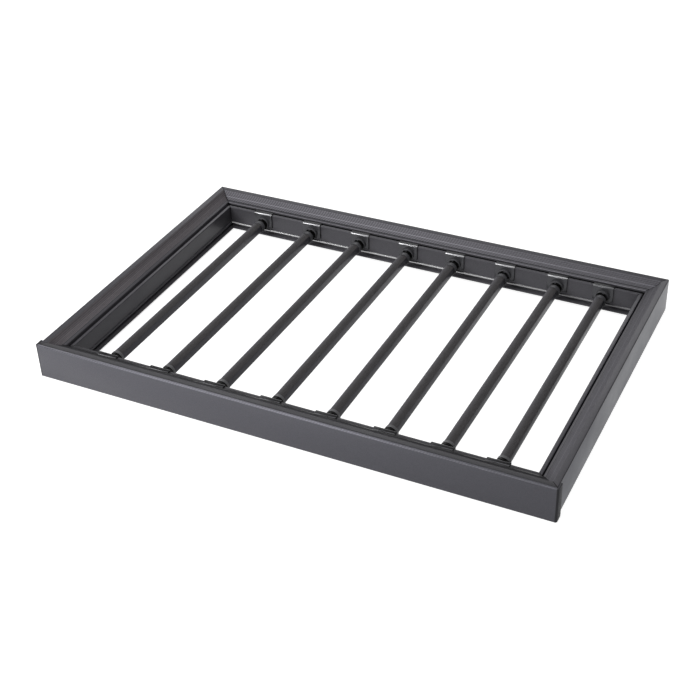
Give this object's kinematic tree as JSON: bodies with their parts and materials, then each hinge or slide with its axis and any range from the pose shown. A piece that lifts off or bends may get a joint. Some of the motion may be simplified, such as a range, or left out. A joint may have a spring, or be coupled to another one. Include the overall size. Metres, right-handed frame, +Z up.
{
  "type": "pull out trouser rack",
  "caption": "Dark grey pull-out trouser rack: a low mitred frame on hidden slides with crosswise rods on hooks that shift along the rims.",
  "frame": {"origin": "middle of the closed rack's footprint, on the shelf that it stands on", "axes": "+X to the right as seen from the front, +Y to the back of the wardrobe, +Z up"},
  "size_m": [0.7614, 0.5096, 0.0531],
  "materials": {
    "frame_finish": "dark grey anodised extrusion with a fine metallic sparkle",
    "rod_finish": "dark grey anodised rod extrusion, satin",
    "grip_rubber": "matt dark grey anti-slip strip with fine ribs",
    "plug_plastic": "satin dark grey moulded plug",
    "hook_steel": "satin dark grey coated sheet steel",
    "cap_plastic": "dark grey moulded end cap",
    "mill_aluminium": "plain die-cast corner key",
    "zinc_steel": "bright zinc-plated slide steel",
    "cage_plastic": "black ball cage"
  },
  "bodies": {
    "cabinet_side": {"left_mounting_bracket": "zinc_steel", "right_mounting_bracket": "zinc_steel", "left_cabinet_member": "zinc_steel", "right_cabinet_member": "zinc_steel", "bracket_screws": "zinc_steel"},
    "rack": {"front_rail": "frame_finish", "rear_rail": "frame_finish", "left_rail": "frame_finish", "right_rail": "frame_finish", "corner_keys": "mill_aluminium", "fascia_panel": "frame_finish", "fascia_screws": "zinc_steel", "left_fascia_cap": "cap_plastic", "right_fascia_cap": "cap_plastic", "left_rack_member": "zinc_steel", "right_rack_member": "zinc_steel", "rack_member_screws": "zinc_steel"},
    "left_middle_slide": {"left_middle_member": "zinc_steel"},
    "left_outer_cage": {"left_outer_ball_cage": "cage_plastic"},
    "left_inner_cage": {"left_inner_ball_cage": "cage_plastic"},
    "right_middle_slide": {"right_middle_member": "zinc_steel"},
    "right_outer_cage": {"right_outer_ball_cage": "cage_plastic"},
    "right_inner_cage": {"right_inner_ball_cage": "cage_plastic"},
    "rod_1": {"rod_1_profile": "rod_finish", "rod_1_grip_strip": "grip_rubber", "rod_1_end_plugs": "plug_plastic", "rod_1_hooks": "hook_steel"},
    "rod_2": {"rod_2_profile": "rod_finish", "rod_2_grip_strip": "grip_rubber", "rod_2_end_plugs": "plug_plastic", "rod_2_hooks": "hook_steel"},
    "rod_3": {"rod_3_profile": "rod_finish", "rod_3_grip_strip": "grip_rubber", "rod_3_end_plugs": "plug_plastic", "rod_3_hooks": "hook_steel"},
    "rod_4": {"rod_4_profile": "rod_finish", "rod_4_grip_strip": "grip_rubber", "rod_4_end_plugs": "plug_plastic", "rod_4_hooks": "hook_steel"},
    "rod_5": {"rod_5_profile": "rod_finish", "rod_5_grip_strip": "grip_rubber", "rod_5_end_plugs": "plug_plastic", "rod_5_hooks": "hook_steel"},
    "rod_6": {"rod_6_profile": "rod_finish", "rod_6_grip_strip": "grip_rubber", "rod_6_end_plugs": "plug_plastic", "rod_6_hooks": "hook_steel"},
    "rod_7": {"rod_7_profile": "rod_finish", "rod_7_grip_strip": "grip_rubber", "rod_7_end_plugs": "plug_plastic", "rod_7_hooks": "hook_steel"},
    "rod_8": {"rod_8_profile": "rod_finish", "rod_8_grip_strip": "grip_rubber", "rod_8_end_plugs": "plug_plastic", "rod_8_hooks": "hook_steel"}
  },
  "joints": [
    {"name": "rack_pull_out", "type": "slide", "parent": "cabinet_side", "child": "rack", "axis": [0, -1, 0], "range_m": [0, 0.44]},
    {"name": "left_middle_travel", "type": "slide", "parent": "cabinet_side", "child": "left_middle_slide", "axis": [0, -1, 0], "range_m": [0, 0.22]},
    {"name": "left_outer_cage_travel", "type": "slide", "parent": "cabinet_side", "child": "left_outer_cage", "axis": [0, -1, 0], "range_m": [0, 0.11]},
    {"name": "left_inner_cage_travel", "type": "slide", "parent": "left_middle_slide", "child": "left_inner_cage", "axis": [0, -1, 0], "range_m": [0, 0.11]},
    {"name": "right_middle_travel", "type": "slide", "parent": "cabinet_side", "child": "right_middle_slide", "axis": [0, -1, 0], "range_m": [0, 0.22]},
    {"name": "right_outer_cage_travel", "type": "slide", "parent": "cabinet_side", "child": "right_outer_cage", "axis": [0, -1, 0], "range_m": [0, 0.11]},
    {"name": "right_inner_cage_travel", "type": "slide", "parent": "right_middle_slide", "child": "right_inner_cage", "axis": [0, -1, 0], "range_m": [0, 0.11]},
    {"name": "rod_1_shift", "type": "slide", "parent": "rack", "child": "rod_1", "axis": [1, 0, 0], "range_m": [-0.018, 0.018]},
    {"name": "rod_2_shift", "type": "slide", "parent": "rack", "child": "rod_2", "axis": [1, 0, 0], "range_m": [-0.018, 0.018]},
    {"name": "rod_3_shift", "type": "slide", "parent": "rack", "child": "rod_3", "axis": [1, 0, 0], "range_m": [-0.018, 0.018]},
    {"name": "rod_4_shift", "type": "slide", "parent": "rack", "child": "rod_4", "axis": [1, 0, 0], "range_m": [-0.018, 0.018]},
    {"name": "rod_5_shift", "type": "slide", "parent": "rack", "child": "rod_5", "axis": [1, 0, 0], "range_m": [-0.018, 0.018]},
    {"name": "rod_6_shift", "type": "slide", "parent": "rack", "child": "rod_6", "axis": [1, 0, 0], "range_m": [-0.018, 0.018]},
    {"name": "rod_7_shift", "type": "slide", "parent": "rack", "child": "rod_7", "axis": [1, 0, 0], "range_m": [-0.018, 0.018]},
    {"name": "rod_8_shift", "type": "slide", "parent": "rack", "child": "rod_8", "axis": [1, 0, 0], "range_m": [-0.018, 0.018]}
  ],
  "couplings": [
    {"joint": "left_middle_travel", "follows": "rack_pull_out", "ratio": 0.5},
    {"joint": "left_outer_cage_travel", "follows": "rack_pull_out", "ratio": 0.25},
    {"joint": "left_inner_cage_travel", "follows": "rack_pull_out", "ratio": 0.25},
    {"joint": "right_middle_travel", "follows": "rack_pull_out", "ratio": 0.5},
    {"joint": "right_outer_cage_travel", "follows": "rack_pull_out", "ratio": 0.25},
    {"joint": "right_inner_cage_travel", "follows": "rack_pull_out", "ratio": 0.25}
  ]
}
